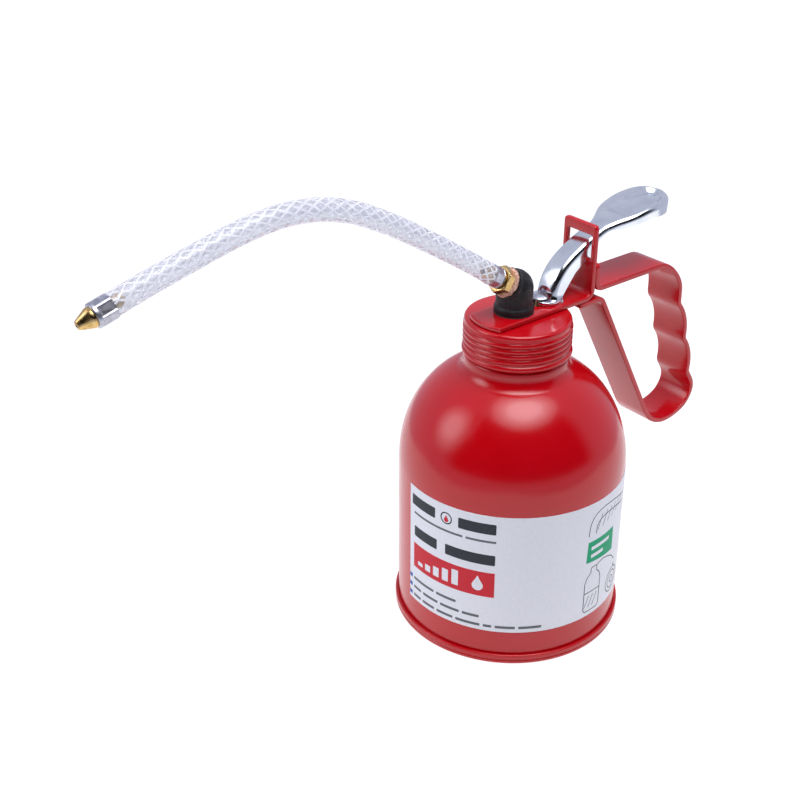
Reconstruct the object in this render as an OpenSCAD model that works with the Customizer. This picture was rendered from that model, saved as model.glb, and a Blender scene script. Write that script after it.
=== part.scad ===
// Hand pump oil can: a sheet metal can with a screw cap that carries a lift pump,
// a thumb lever, a strip handle and a stiff braided hose spout.
// +Z is up, +X points along the spout, and the origin is the centre of the base.

/* [Can] */
// Radius of the can wall
can_r = 42.5; // [41:0.5:44]
// Height where the wall turns into the shoulder
shoulder_z = 64; // [62:1:66]
// Height where the shoulder would level out
dome_z = 102.8; // [101.5:0.1:103.5]
// Sheet thickness of the can
can_t = 0.8; // [0.5:0.1:1]
// Height of the neck's mouth
mouth_z = 120; // [119:0.5:120]

/* [Cap] */
// Height of the cap's top face
cap_z = 122.5; // [122.5:0.5:123]
// Outer radius of the cap's skirt
cap_r = 19.3; // [19:0.1:20]
// Height of the cap's lower edge
cap_foot_z = 108.5; // [108:0.5:110]
// Distance between the cap's ribs
rib_pitch = 2.1; // [1.9:0.1:2.1]

/* [Bracket and handle] */
// Thickness of the bracket and handle strip
strip_t = 2; // [1.5:0.5:2]
// Width of the strip
strip_w = 16; // [14:1:18]
// Height of the upright's top edge
upright_z = 151; // [150:1:154]

/* [Pump] */
// Distance of the plunger behind the cap's centre
pump_x = -10.3; // [-10.5:0.1:-10.2]
// Distance of the outlet in front of the cap's centre
outlet_x = 2.35; // [2:0.05:2.5]
// Inner radius of the pump barrel
barrel_r = 4.6; // [4.2:0.1:4.8]
// Radius of the plunger rod
rod_r = 1.75; // [1.5:0.05:1.8]

/* [Lever] */
// Width of the lever's arm
arm_w = 9.2; // [8.8:0.2:10]
// Thickness of the lever's sheet
lever_t = 1.2; // [0.8:0.1:1.2]

/* [Spout] */
// Outer diameter of the hose
hose_d = 7.5; // [7:0.1:7.8]
// Rise of the elbow's outlet above level, in degrees
outlet_rise = 34; // [30:1:36]
// Fall of the nozzle below level, in degrees
nozzle_fall = 16; // [15:1:17]

/* [Hidden] */
$fn = 64;
fit = 0.05;            // radial clearance of a running fit

// Can and cap
seam_r = can_r + 1.3;
seam_h = 3.8;
base_z = 3;
neck_r = 17.5;
neck_base_r = 19.2;
neck_hole_r = neck_r - can_t;
label_z = [13.8, 63.9];
label_t = 0.15;
label_start = -12;
label_sweep = 262;
cap_t = 1.2;
cap_under_z = cap_z - cap_t;
cap_bore_r = 18.3;
rib_r = 0.5;
rib_count = 4;
rib_z = cap_foot_z + 5.4;
cap_bead_r = 1.3;

// Bracket: the plate lies on the cap, the upright stands behind the pump
plate_z = cap_z + strip_t;
upright_x = -28.5;
bend_r = 2;
window_w = 12;
window_z = [137, 147];
pivot = [upright_x - strip_t / 2, window_z[0]];
sill_r = strip_t / 2;

// Pump stack, from the strainer up
barrel_t = 0.8;
barrel_z = [78, 112];
body_z = [109.5, cap_under_z];
body_r = barrel_r + barrel_t + 0.6;
boss_r = 5.6;
chamber_z = 114;
cross_r = 1.5;
cross_z = 112.2;
packing_r = 3.8;
packing_z = [117, 119];
gland_top_z = plate_z - 0.2;
foot_z = [75, 78, 80];
inlet_hole_r = 1.4;
ball_room_r = 2.4;
ball_r = 1.9;
ball_gap = 0.15;
nipple_r = 3.2;
tube_r = 4.2;
tube_z = [12, foot_z[0]];
strainer_r = 5.2;
strainer_z = [5, 16];
piston_z = [84, 91];
piston_r = barrel_r - fit;
spring_z = [piston_z[1] + 0.3, chamber_z - 0.2];
spring_r = 3.5;
wire_r = 0.45;
spring_turns = 9;
outlet_r = 3.6;
outlet_hole_r = 2.3;
outlet_z = [114.5, 129];
outlet_ball_r = 1.8;
outlet_seat_z = 116;

// Plunger head and lever foot
foot_t = 1.3;
foot_top_z = plate_z + 0.1 + foot_t;
head_r = 3.2;
head_z = foot_top_z + 0.3;
pad_r = 6.2;
pad_x = pump_x - 3.1;
slot_r = rod_r + 0.3;
slot_end_x = pump_x - 4;
channel_w = arm_w - 2;

// Elbow and fittings, measured along the outlet from its corner
elbow_z = 133.7;
elbow_r = 6.6;
collar_r = 7.2;
collar_h = 2.8;
washer_h = 0.5;
outlet_face = 4.2;
elbow_bore_r = 2;
stub_r = 3.8;
stub_at = 1;
sealant_len = 2.2;
nut_len = 3.2;
nut_r = 5.2;
fitting_neck = 0.8;
ferrule_len = 4.4;
ferrule_r = 3.9;
barb_r = 2.6;
sealant_at = outlet_face;
nut_at = sealant_at + sealant_len;
ferrule_at = nut_at + nut_len + fitting_neck;
hose_at = ferrule_at + ferrule_len;

// Nozzle, placed by the point of its tip
tip_point = [165.4, 166.5];
tip_len = 5.2;
tip_r = [3.15, 1.3];
nozzle_hole_r = 0.6;
front_len = 6.2;

function along(angle, d) = d * [cos(angle), sin(angle)];
hose_start = [outlet_x, elbow_z] + along(outlet_rise, hose_at);
hose_end = tip_point - along(-nozzle_fall, tip_len + front_len);

// Route of the hose as [x, z], in the plane y = 0
hose_route = [
    hose_start,
    [22.5, 147.5], [33.5, 154.8], [44, 161.6], [54, 167.8], [63.5, 173.2],
    [72.5, 177.5], [81.5, 180.4], [90, 181.9], [98.5, 182.2], [107, 181.4],
    [115.5, 179.9], [123.5, 178], [131.5, 176], [139, 174.1], [147, 171.9],
    hose_end
];

// ---- Outlines ----

function at_clamped(p, i) = p[max(0, min(i, len(p) - 1))];

// Points of a path moved sideways, to the left of its direction
function shifted(p, t) = [
    for (i = [0:len(p) - 1])
        let (d = at_clamped(p, i + 1) - at_clamped(p, i - 1), u = d / norm(d))
            p[i] + t * [-u[1], u[0]]
];

// Closed outline of a strip that follows a path and is t thick on its left
function strip(p, t) = concat(p, [for (i = [len(p) - 1:-1:0]) shifted(p, t)[i]]);

// Arc round a centre, from one angle to another
function arc(c, r, from, to, n = 8) = [
    for (k = [0:n]) let (a = from + (to - from) * k / n) c + r * [cos(a), sin(a)]
];

// Arc over a chord, standing proud of it by s on its right
function bulge(a, b, s, n = 8) =
    let (
        c = norm(b - a),
        u = (b - a) / c,
        v = [u[1], -u[0]],
        r = (c * c / 4 + s * s) / (2 * s),
        half = asin(c / 2 / r)
    )
    [for (k = [0:n]) let (w = half * (2 * k / n - 1)) (a + b) / 2 + v * (s - r) + r * (cos(w) * v + sin(w) * u)];

// Smooth curve through points
function curve(p, n = 4) = [
    for (i = [0:len(p) - 2], k = [0:n - 1])
        let (
            t = k / n,
            a = at_clamped(p, i - 1),
            b = p[i],
            c = p[i + 1],
            d = at_clamped(p, i + 2)
        )
        b + 0.5 * t * ((c - a) + t * ((2 * a - 5 * b + 4 * c - d) + t * (3 * b - 3 * c + d - a))),
    p[len(p) - 1]
];

// Shoulder of the can: a squared-off quarter ellipse, then a fillet up to the neck
dome_in_r = 16;
dome_steps = 22;
dome_end_angle = 75;
function dome_point(a) = [
    dome_in_r + (can_r - dome_in_r) * pow(cos(a), 2 / 1.7),
    shoulder_z + (dome_z - shoulder_z) * pow(sin(a), 2 / 2.1)
];
dome_end = dome_point(dome_end_angle);
fillet_top = [neck_base_r, dome_z + 2.6];
function bezier(a, b, c, n) = [
    for (k = [1:n]) let (t = k / n) (1 - t) * (1 - t) * a + 2 * t * (1 - t) * b + t * t * c
];
can_outline = concat(
    [[can_r, can_t]],
    [for (k = [0:dome_steps]) dome_point(dome_end_angle * k / dome_steps)],
    bezier(dome_end, [neck_base_r, dome_z - 0.4], fillet_top, 6),
    [
        [neck_base_r, cap_foot_z - 0.9], [neck_base_r - 0.5, cap_foot_z - 0.3],
        [neck_r, cap_foot_z], [neck_r, mouth_z]
    ]
);

// ---- Small helpers ----

module tube(r_out, r_in, z0, z1) {
    translate([0, 0, z0])
        difference() {
            cylinder(r = r_out, h = z1 - z0);
            translate([0, 0, -1])
                cylinder(r = r_in, h = z1 - z0 + 2);
        }
}

module rod(r, z0, z1) {
    translate([0, 0, z0])
        cylinder(r = r, h = z1 - z0);
}

// Ring with a round section, as a bead or a thread
module bead(r, z, section_r) {
    rotate_extrude()
        translate([r, z])
            circle(r = section_r, $fn = 24);
}

// Side view outline (x, z) given a width across Y
module across(outline, w) {
    translate([0, w / 2, 0])
        rotate([90, 0, 0])
            linear_extrude(w)
                polygon(outline);
}

module at_pump() {
    translate([pump_x, 0, 0])
        children();
}

module at_outlet() {
    translate([outlet_x, 0, 0])
        children();
}

// Z runs along the elbow's outlet, from its corner
module along_outlet() {
    translate([outlet_x, 0, elbow_z])
        rotate([0, 90 - outlet_rise, 0])
            children();
}

// Z runs along the nozzle, from the hose end
module along_nozzle() {
    translate([hose_end[0], 0, hose_end[1]])
        rotate([0, 90 + nozzle_fall, 0])
            children();
}

// Round wire swept along 3D points
module sweep(points, r, sides) {
    n = len(points);
    rings = [
        for (i = [0:n - 1])
            let (
                d = at_clamped(points, i + 1) - at_clamped(points, i - 1),
                t = d / norm(d),
                side = cross([0, 0, 1], t),
                u = side / norm(side),
                v = cross(t, u)
            )
            for (k = [0:sides - 1]) points[i] + r * (cos(360 * k / sides) * u + sin(360 * k / sides) * v)
    ];
    walls = [
        for (i = [0:n - 2], k = [0:sides - 1])
            let (a = i * sides + k, b = i * sides + (k + 1) % sides)
                [a, a + sides, b + sides, b]
    ];
    first = [for (k = [0:sides - 1]) k];
    last = [for (k = [sides - 1:-1:0]) (n - 1) * sides + k];
    polyhedron(points = rings, faces = concat(walls, [first, last]), convexity = 8);
}

// ---- Can ----

module can_shell() {
    color("crimson") {
        rotate_extrude($fn = 128)
            polygon(strip(can_outline, can_t));
        // Flange that the base seam folds over
        tube(can_r + can_t, can_r - can_t, can_t, 2 * can_t);
        for (i = [0:2])
            bead(neck_r, cap_foot_z + 2.5 + i * rib_pitch, 0.4);
    }
}

module base_disc() {
    color("crimson")
        rotate_extrude($fn = 128)
            polygon([
                [0, base_z], [can_r - 2 * can_t, base_z], [can_r - 2 * can_t, 0], [seam_r, 0],
                [seam_r, seam_h], [can_r + can_t, seam_h], [can_r + can_t, can_t],
                [can_r - can_t, can_t], [can_r - can_t, base_z + can_t], [0, base_z + can_t]
            ]);
}

module label() {
    color("white")
        rotate([0, 0, label_start])
            rotate_extrude(angle = label_sweep, $fn = 128)
                translate([can_r, label_z[0]])
                    square([label_t, label_z[1] - label_z[0]]);
}

// ---- Cap, bracket and handle ----

module cap_gasket() {
    color("dimgray")
        tube(cap_bore_r - 0.4, neck_hole_r + 0.1, mouth_z, cap_under_z);
}

module screw_cap() {
    color("crimson")
        difference() {
            union() {
                rotate_extrude($fn = 96)
                    polygon(concat(
                        [[0, cap_under_z], [cap_bore_r, cap_under_z], [cap_bore_r, cap_foot_z]],
                        arc([cap_r - 0.6, cap_foot_z + cap_bead_r], cap_bead_r, -90, 60),
                        arc([cap_r - 1.3, cap_z - 1.3], 1.3, 0, 90, 4),
                        [[0, cap_z]]
                    ));
                for (i = [0:rib_count - 1])
                    bead(cap_r - 0.05, rib_z + i * rib_pitch, rib_r);
            }
            at_pump()
                rod(packing_r + 0.1, cap_under_z - 1, cap_z + 1);
            at_outlet()
                rod(outlet_r + 0.1, cap_under_z - 1, cap_z + 1);
        }
}

bracket_path = concat(
    [[cap_r, plate_z]],
    arc([upright_x + bend_r, plate_z + bend_r], bend_r, 270, 180),
    [[upright_x, upright_z]]
);

module bracket() {
    color("crimson")
        difference() {
            intersection() {
                across(strip(bracket_path, strip_t), strip_w);
                union() {
                    rod(cap_r - 1.4, 0, upright_z + 1);
                    translate([-60, -strip_w, 0])
                        cube([60, 2 * strip_w, upright_z + 1]);
                }
            }
            difference() {
                translate([upright_x - strip_t - 1, -window_w / 2, window_z[0]])
                    cube([strip_t + 2, window_w, window_z[1] - window_z[0]]);
                translate([pivot[0], window_w, pivot[1]])
                    rotate([90, 0, 0])
                        cylinder(r = sill_r, h = 2 * window_w);
            }
            at_pump()
                rod(packing_r + 0.1, cap_z - 1, plate_z + 1);
            at_outlet()
                rod(outlet_r + 0.1, cap_z - 1, plate_z + 1);
        }
}

// Outer face of the handle strip, from the flange behind the upright round to the tab
flange_x = upright_x - 2 * strip_t;
handle_top_z = 127;
handle_path = concat(
    [[flange_x, 136]],
    arc([flange_x - 1.5, handle_top_z + 1.5], 1.5, 360, 270, 4),
    arc([-66, handle_top_z - 10], 10, 90, 125, 6),
    curve([[-73.8, 123.8], [-77.7, 119.6], [-80.2, 114.5], [-80.6, 107]]),
    bulge([-80.6, 107], [-86, 90.4], 2),
    bulge([-86, 90.4], [-90.5, 74.2], 2),
    curve([
        [-90.5, 74.2], [-94, 68.5], [-94.1, 63.5], [-90.8, 58.5], [-85.2, 55.8],
        [-78.6, 54.8], [-73.4, 55.8], [-68.6, 58.6], [-65.2, 62.8]
    ]),
    arc([-32.4, 118], 2.8, 153, 90, 5),
    [[-28, 120.55], [-23.5, 120.5]]
);

module handle() {
    color("crimson")
        across(strip(handle_path, strip_t), strip_w);
}

// ---- Pump ----

module pump_body() {
    color("goldenrod")
        difference() {
            union() {
                at_pump()
                    rod(body_r, body_z[0], body_z[1]);
                at_outlet()
                    rod(boss_r, body_z[0], body_z[1]);
                translate([pump_x, -boss_r, body_z[0]])
                    cube([outlet_x - pump_x, 2 * boss_r, body_z[1] - body_z[0]]);
            }
            at_pump() {
                rod(barrel_r + barrel_t, body_z[0] - 1, barrel_z[1]);
                rod(barrel_r, barrel_z[1] - 1, chamber_z);
                rod(rod_r + fit, chamber_z - 1, packing_z[0] + 1);
                rod(packing_r, packing_z[0], body_z[1] + 1);
            }
            at_outlet() {
                rod(cross_r, cross_z, outlet_z[0] + 1);
                rod(outlet_r, outlet_z[0], body_z[1] + 1);
            }
            translate([pump_x, 0, cross_z + 0.6])
                rotate([0, 90, 0])
                    cylinder(r = cross_r / 2, h = outlet_x - pump_x);
        }
}

module gland_packing() {
    color("dimgray")
        at_pump()
            tube(packing_r, rod_r + fit, packing_z[0], packing_z[1]);
}

module gland_nut() {
    color("goldenrod")
        at_pump()
            tube(packing_r, rod_r + fit, packing_z[1], gland_top_z);
}

module pump_barrel() {
    color("goldenrod")
        at_pump()
            tube(barrel_r + barrel_t, barrel_r, barrel_z[0], barrel_z[1]);
}

module return_spring() {
    steps = 12;
    rise = spring_z[1] - spring_z[0] - 2 * wire_r;
    helix = [
        for (i = [0:steps * spring_turns])
            let (a = 360 * i / steps)
                [
                    spring_r * cos(a), spring_r * sin(a),
                    spring_z[0] + wire_r + rise * i / (steps * spring_turns)
                ]
    ];
    color("silver")
        at_pump()
            sweep(helix, wire_r, 6);
}

module foot_valve() {
    color("goldenrod")
        at_pump()
            difference() {
                union() {
                    rod(barrel_r, foot_z[1], foot_z[2]);
                    rod(barrel_r + barrel_t, foot_z[0], foot_z[1]);
                    rod(nipple_r, foot_z[0] - 8, foot_z[0]);
                }
                rod(inlet_hole_r, foot_z[0] - 9, foot_z[2]);
                rod(ball_room_r, foot_z[0] + 1, foot_z[2] + 1);
            }
}

// Round plate over the inlet ball, with slots that let the oil past
module valve_cage() {
    z = foot_z[2];
    color("silver")
        at_pump()
            difference() {
                rod(barrel_r, z, z + 1.4);
                rod(ball_room_r, z - 1, z + 0.6);
                for (k = [0:2])
                    rotate([0, 0, 120 * k])
                        translate([2.3, 0, z - 1])
                            cylinder(r = 0.9, h = 4);
            }
}

module suction_tube() {
    color("lightyellow")
        at_pump()
            tube(tube_r, nipple_r, tube_z[0], tube_z[1]);
}

module strainer() {
    slot_rows = 3;
    color("goldenrod")
        at_pump()
            difference() {
                rod(strainer_r, strainer_z[0], strainer_z[1]);
                rod(tube_r, strainer_z[0] + 0.8, strainer_z[1] + 1);
                for (row = [0:slot_rows - 1], k = [0:3])
                    translate([0, 0, strainer_z[0] + 2 + 1.6 * row])
                        rotate([0, 0, 45 * k + 22.5 * (row % 2)])
                            cube([20, 0.8, 0.8], center = true);
            }
}

module outlet_nipple() {
    color("goldenrod")
        at_outlet()
            difference() {
                tube(outlet_r, outlet_hole_r, outlet_seat_z, outlet_z[1]);
                translate([0, 5, outlet_seat_z + 5.4])
                    rotate([90, 0, 0])
                        cylinder(r = 0.5, h = 10);
            }
    color("goldenrod")
        at_outlet()
            tube(outlet_r, 1.3, outlet_z[0], outlet_seat_z);
}

module stop_pin() {
    color("silver")
        at_outlet()
            translate([0, outlet_r, outlet_seat_z + 5.4])
                rotate([90, 0, 0])
                    cylinder(r = 0.5, h = 2 * outlet_r);
}

// ---- Elbow, fittings and spout ----

module elbow_washer() {
    color("gray")
        at_outlet()
            tube(collar_r, outlet_r + 0.1, plate_z, plate_z + washer_h);
}

module elbow() {
    z0 = plate_z + washer_h;
    color("#202022")
        difference() {
            union() {
                at_outlet()
                    rotate_extrude()
                        polygon(concat(
                            [
                                [0, z0], [collar_r, z0], [collar_r, plate_z + collar_h],
                                [elbow_r, plate_z + collar_h]
                            ],
                            arc([0, elbow_z], elbow_r, 0, 90, 12)
                        ));
                along_outlet()
                    cylinder(r = 5.9, h = outlet_face + 1);
            }
            at_outlet() {
                rod(outlet_r, z0 - 1, outlet_z[1] + 0.2);
                rod(elbow_bore_r + 0.3, z0 - 1, elbow_z + 0.6);
            }
            along_outlet() {
                rod(elbow_bore_r, 0, outlet_face + 1);
                rod(stub_r, stub_at, outlet_face + 1);
                rod(2 * elbow_r, outlet_face, outlet_face + elbow_r);
            }
        }
}

module sealant_ring() {
    color("rosybrown")
        along_outlet()
            tube(5.6, stub_r, sealant_at, nut_at);
}

module hose_fitting() {
    color("goldenrod")
        along_outlet()
            difference() {
                union() {
                    rod(stub_r, stub_at, nut_at);
                    translate([0, 0, nut_at])
                        cylinder(r = nut_r, h = nut_len, $fn = 6);
                    rod(3.2, nut_at + nut_len, ferrule_at);
                    rod(barb_r, ferrule_at, hose_at);
                }
                rod(1.5, 0, hose_at + 1);
            }
}

module rear_ferrule() {
    color("silver")
        along_outlet()
            tube(ferrule_r, barb_r, ferrule_at, hose_at);
}

module hose() {
    color("whitesmoke")
        sweep([for (p = hose_route) [p[0], 0, p[1]]], hose_d / 2, 12);
}

module front_ferrule() {
    color("silver")
        along_nozzle()
            tube(ferrule_r, barb_r, 0, front_len);
}

module nozzle_tip() {
    color("gold")
        along_nozzle()
            difference() {
                union() {
                    rod(barb_r, 0, front_len);
                    translate([0, 0, front_len])
                        rotate_extrude()
                            polygon([
                                [0, 0], [tip_r[0], 0], [tip_r[0], 1], [tip_r[1] + 0.2, tip_len - 0.4],
                                [tip_r[1] - 0.2, tip_len], [0, tip_len]
                            ]);
                }
                rod(nozzle_hole_r, -1, front_len + tip_len + 1);
            }
}

// ---- Plunger ----

module plunger_rod() {
    dome_r = (head_r * head_r + 1) / 2;
    color("silver")
        at_pump() {
            rod(rod_r, piston_z[0], head_z);
            rod(head_r, head_z, head_z + 0.4);
            intersection() {
                translate([0, 0, head_z + 1.4 - dome_r])
                    sphere(r = dome_r);
                rod(head_r, head_z, head_z + 2);
            }
        }
}

module piston() {
    color("goldenrod")
        at_pump()
            difference() {
                tube(piston_r, rod_r, piston_z[0] + 3, piston_z[1]);
                for (k = [0:3])
                    rotate([0, 0, 90 * k])
                        translate([3.1, 0, piston_z[0]])
                            cylinder(r = 0.6, h = 10);
            }
}

module piston_seal() {
    color("dimgray")
        at_pump()
            difference() {
                tube(piston_r, rod_r, piston_z[0] + 1.5, piston_z[0] + 3);
                for (k = [0:3])
                    rotate([0, 0, 90 * k])
                        translate([3.1, 0, piston_z[0]])
                            cylinder(r = 0.6, h = 10);
            }
}

module piston_nut() {
    color("silver")
        at_pump()
            difference() {
                translate([0, 0, piston_z[0]])
                    cylinder(r = 2.9, h = 1.5, $fn = 6);
                rod(rod_r, piston_z[0] - 1, piston_z[0] + 2);
            }
}

// ---- Thumb lever ----

// Top face of the lever's arm, from the foot up through the window to the neck
arm_top = curve([
    [-12.3, foot_top_z], [-13, 129.7], [-14.6, 133.5], [-17.5, 137.2], [-21.3, 140.2],
    [-26, 142.8], [-30, 144.7], [-35, 146.7], [-40, 148.4]
]);
// Lower edges of the arm's side walls, from the neck down to the foot
arm_low = [
    [-38, 146.2], [-34.6, 143.6], [-32.2, 141.6], [-31.2, 138.4], [-28.1, 136.4],
    [-27.2, 137.2], [-23, 133.8], [-19.8, 129.8], [-16.8, 125.8],
    [-16.2, foot_top_z - foot_t], [-12.3, foot_top_z - foot_t]
];
// Top face of the thumb pad, from the neck to the tip
thumb_top = curve([[-38, 147.7], [-44, 149.8], [-50, 151.4], [-57, 152.7], [-64, 153.1], [-71, 152.6], [-77, 151.2]]);
thumb_low = curve([[-77, 147], [-72, 146.5], [-66, 147.2], [-57, 148.6], [-50, 147.4], [-44, 146.4], [-38, 146]]);
// Half of the thumb pad seen from above
thumb_half = curve([[-38, 4.6], [-42, 6.2], [-47, 8.8], [-53, 9.9], [-60, 10.2], [-67, 9.7], [-72, 7.8], [-75.4, 4.4], [-76.4, 0]]);
function mirrored(p) = concat(p, [for (i = [len(p) - 2:-1:0]) [p[i][0], -p[i][1]]]);

module thumb_pad() {
    // Dished face
    intersection() {
        across(strip(thumb_top, lever_t), 30);
        translate([0, 0, 100])
            linear_extrude(80)
                polygon(mirrored(thumb_half));
    }
    // Rolled rim
    intersection() {
        across(concat(thumb_top, thumb_low), 30);
        translate([0, 0, 100])
            linear_extrude(80)
                polygon(strip(mirrored(thumb_half), lever_t));
    }
}

module lever_arm() {
    difference() {
        across(concat(arm_top, arm_low), arm_w);
        across(concat(shifted(arm_top, lever_t), [[-39, 120], [-13.5, 120]]), channel_w);
        // Notch that rocks on the window's sill, flared for the swing
        translate([pivot[0], arm_w, pivot[1]])
            rotate([90, 0, 0])
                cylinder(r = sill_r + 0.25, h = 2 * arm_w);
        across([
            [pivot[0] + sill_r + 0.25, pivot[1]], [pivot[0] + sill_r + 0.25, 130],
            [pivot[0] - sill_r - 4.5, 130], [pivot[0] - sill_r - 0.25, pivot[1]]
        ], 2 * arm_w);
        // Keyhole that the plunger's head sits in
        translate([-18, -channel_w / 2, foot_top_z])
            cube([12, channel_w, 4.4]);
    }
}

module lever_foot() {
    intersection() {
        translate([pad_x, 0, foot_top_z - foot_t])
            cylinder(r = pad_r, h = foot_t);
        translate([slot_end_x - 3, -10, 0])
            cube([20, 20, 200]);
    }
}

// Open slot in the foot that straddles the plunger rod
module plunger_slot() {
    translate([slot_end_x, 0, foot_top_z - foot_t - 1]) {
        cylinder(r = slot_r, h = foot_t + 2);
        translate([0, -slot_r, 0])
            cube([20, 2 * slot_r, foot_t + 2]);
    }
}

module thumb_lever() {
    color("silver") {
        difference() {
            union() {
                lever_arm();
                lever_foot();
            }
            plunger_slot();
        }
        thumb_pad();
    }
}

// ---- Valve balls ----

// Height of a ball that rests on the rim of a hole
function seated(seat_z, hole_r, r) = seat_z + sqrt(r * r - hole_r * hole_r) + ball_gap;

module inlet_ball() {
    color("silver")
        at_pump()
            translate([0, 0, seated(foot_z[0] + 1, inlet_hole_r, ball_r)])
                sphere(r = ball_r);
}

module outlet_ball() {
    color("silver")
        at_outlet()
            translate([0, 0, seated(outlet_seat_z, 1.3, outlet_ball_r)])
                sphere(r = outlet_ball_r);
}

can_shell();
base_disc();
label();
cap_gasket();
screw_cap();
bracket();
handle();
pump_body();
gland_packing();
gland_nut();
pump_barrel();
return_spring();
foot_valve();
valve_cage();
suction_tube();
strainer();
outlet_nipple();
stop_pin();
elbow_washer();
elbow();
sealant_ring();
hose_fitting();
rear_ferrule();
hose();
front_ferrule();
nozzle_tip();
plunger_rod();
piston();
piston_seal();
piston_nut();
thumb_lever();
inlet_ball();
outlet_ball();
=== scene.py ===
import contextlib
import functools
import math

import bmesh
import bpy
import numpy as np
from mathutils import Matrix, Vector, noise


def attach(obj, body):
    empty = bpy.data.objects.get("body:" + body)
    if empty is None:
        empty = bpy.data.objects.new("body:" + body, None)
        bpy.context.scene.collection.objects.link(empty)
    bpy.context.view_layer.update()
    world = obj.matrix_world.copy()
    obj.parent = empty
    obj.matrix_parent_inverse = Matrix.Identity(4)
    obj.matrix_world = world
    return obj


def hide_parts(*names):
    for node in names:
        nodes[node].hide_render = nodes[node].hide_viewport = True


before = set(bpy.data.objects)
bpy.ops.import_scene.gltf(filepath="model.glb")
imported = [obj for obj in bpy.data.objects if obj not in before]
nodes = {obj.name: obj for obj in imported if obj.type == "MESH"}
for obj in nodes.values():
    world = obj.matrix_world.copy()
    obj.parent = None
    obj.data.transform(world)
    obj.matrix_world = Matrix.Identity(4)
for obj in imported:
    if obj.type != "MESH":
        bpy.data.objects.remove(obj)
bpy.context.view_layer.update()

# Lengths below are in millimetres, in the CAD's own frame, and become metres where a mesh is made.
MM = 0.001

# ---- Sizes, as in the CAD ----

CAN_R = 42.5
CAN_T = 0.8
SHOULDER_Z = 64
DOME_Z = 102.8
DOME_IN_R = 16
NECK_BASE_R = 19.2
NECK_R = 17.5
MOUTH_Z = 120
SEAM_R = 43.8
SEAM_H = 3.8
BASE_Z = 3
LABEL_Z = (13.8, 63.9)
LABEL_START = -12
LABEL_SWEEP = 262

CAP_Z = 122.5
CAP_R = 19.3
CAP_FOOT_Z = 108.5
CAP_T = 1.2
RIB_PITCH = 2.1
RIB_Z = CAP_FOOT_Z + 3.6

STRIP_T = 2
STRIP_W = 16
PLATE_Z = CAP_Z + STRIP_T
UPRIGHT_X = -28.5
UPRIGHT_Z = 151
BEND_R = 2
WINDOW_HALF = 6
WINDOW_Z = (138, 147)
PIVOT = (-29.5, 137)

PUMP_X = -10.3
OUTLET_X = 2.35
PUMP_HOLE_R = 3.9
OUTLET_HOLE_R = 3.7
ROD_R = 1.75
HEAD_R = 3.2
FOOT_TOP_Z = 125.9
FOOT_T = 1.3
HEAD_Z = 126.2

ELBOW_Z = 133.7
ELBOW_R = 6.6
COLLAR_R = 7.2
COLLAR_H = 2.8
WASHER_H = 0.5
OUTLET_RISE = math.radians(34)
SEALANT_AT = 4.2
NUT_AT = 6.4
NUT_LEN = 3.2
NUT_R = 5.2
FERRULE_AT = 10.4
HOSE_AT = 14.8
FERRULE_R = 3.9
BARB_R = 2.6

NOZZLE_FALL = math.radians(16)
TIP_POINT = (165.4, 166.5)
TIP_LEN = 5.2
FRONT_LEN = 6.2
HOSE_R = 3.75
HOSE_BORE_R = 2.6


# ---- Places and outlines ----

def placed(x, z, rise):
    """Maps a piece's own frame to the object's; its z axis leaves (x, z) at that rise above level."""
    c, s = math.cos(rise), math.sin(rise)
    return lambda p: (x + p[0] * s + p[2] * c, p[1], z - p[0] * c + p[2] * s)


def upright(x=0.0, z=0.0):
    """Maps a piece's own frame to the object's with its axis upright at x."""
    return lambda p: (x + p[0], p[1], z + p[2])


on_outlet = placed(OUTLET_X, ELBOW_Z, OUTLET_RISE)
HOSE_START = on_outlet((0, 0, HOSE_AT))
HOSE_END = (
    TIP_POINT[0] - (TIP_LEN + FRONT_LEN) * math.cos(NOZZLE_FALL),
    0,
    TIP_POINT[1] + (TIP_LEN + FRONT_LEN) * math.sin(NOZZLE_FALL),
)
on_nozzle = placed(HOSE_END[0], HOSE_END[2], -NOZZLE_FALL)


def arc(cx, cy, r, start, end, n=8):
    """Points on an arc, with its angles in degrees."""
    angles = [math.radians(start + (end - start) * k / n) for k in range(n + 1)]
    return [(cx + r * math.cos(a), cy + r * math.sin(a)) for a in angles]


def bulge(a, b, rise, n=10):
    """Arc over the chord from a to b, standing proud of it by rise on its right."""
    a, b = np.array(a, float), np.array(b, float)
    chord = np.linalg.norm(b - a)
    u = (b - a) / chord
    v = np.array([u[1], -u[0]])
    r = (chord * chord / 4 + rise * rise) / (2 * rise)
    half = math.asin(chord / 2 / r)
    turns = [half * (2 * k / n - 1) for k in range(n + 1)]
    return [tuple((a + b) / 2 + v * (rise - r) + r * (math.cos(w) * v + math.sin(w) * u)) for w in turns]


def curve_through(points, n=4):
    """Catmull-Rom curve through points of any dimension."""
    p = [np.array(q, float) for q in points]
    out = []
    for i in range(len(p) - 1):
        a, b, c, d = p[max(i - 1, 0)], p[i], p[i + 1], p[min(i + 2, len(p) - 1)]
        for k in range(n):
            t = k / n
            pull = 2 * a - 5 * b + 4 * c - d + t * (3 * b - 3 * c + d - a)
            out.append(tuple(b + 0.5 * t * (c - a + t * pull)))
    return out + [tuple(p[-1])]


def resampled(points, step):
    """The same path with points a step apart, and the distance of each from the start."""
    p = np.array(points, float)
    lengths = np.concatenate([[0], np.cumsum(np.linalg.norm(np.diff(p, axis=0), axis=1))])
    at = np.linspace(0, lengths[-1], max(2, round(lengths[-1] / step) + 1))
    return np.stack([np.interp(at, lengths, p[:, i]) for i in range(p.shape[1])], 1), at


def smoothed(points, passes):
    """The path with each inner point averaged with its neighbours, so creases become bends."""
    p = np.array(points, float)
    for _ in range(passes):
        p[1:-1] = (p[:-2] + 2 * p[1:-1] + p[2:]) / 4
    return p


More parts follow.
